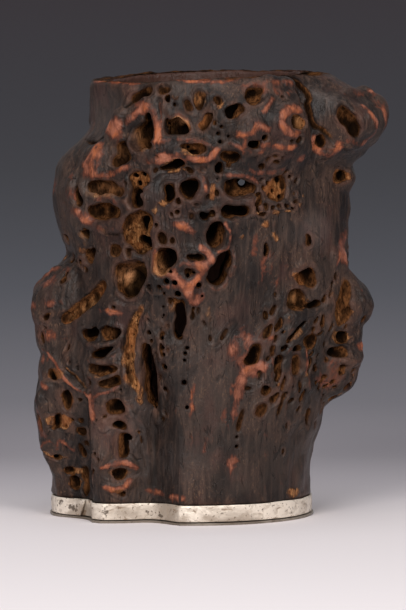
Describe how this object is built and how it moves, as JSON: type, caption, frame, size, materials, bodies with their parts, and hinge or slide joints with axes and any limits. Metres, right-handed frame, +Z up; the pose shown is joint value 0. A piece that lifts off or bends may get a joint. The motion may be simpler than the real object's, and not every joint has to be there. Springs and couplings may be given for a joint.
{
  "type": "brush pot",
  "caption": "Tall gnarled burl-wood brush pot, hollow from the rim to a fitted floor, riddled with knot holes and standing in a shallow sheet-metal foot.",
  "frame": {"origin": "on the resting face, under the middle of the bore at the foot", "axes": "+Z up out of the mouth, -Y towards the front, +X to the right as seen from the front"},
  "size_m": [0.1289, 0.0918, 0.1625],
  "materials": {
    "burl_wood": "dark, waxed by handling, worn reddish on the ridges",
    "floor_wood": "plain, unpolished",
    "sheet_metal": "silvery sheet, dulled and stained"
  },
  "bodies": {
    "root": {"burl_trunk": "burl_wood", "floor_plug": "floor_wood", "foot_band": "sheet_metal", "sole_plate": "sheet_metal"}
  },
  "joints": []
}
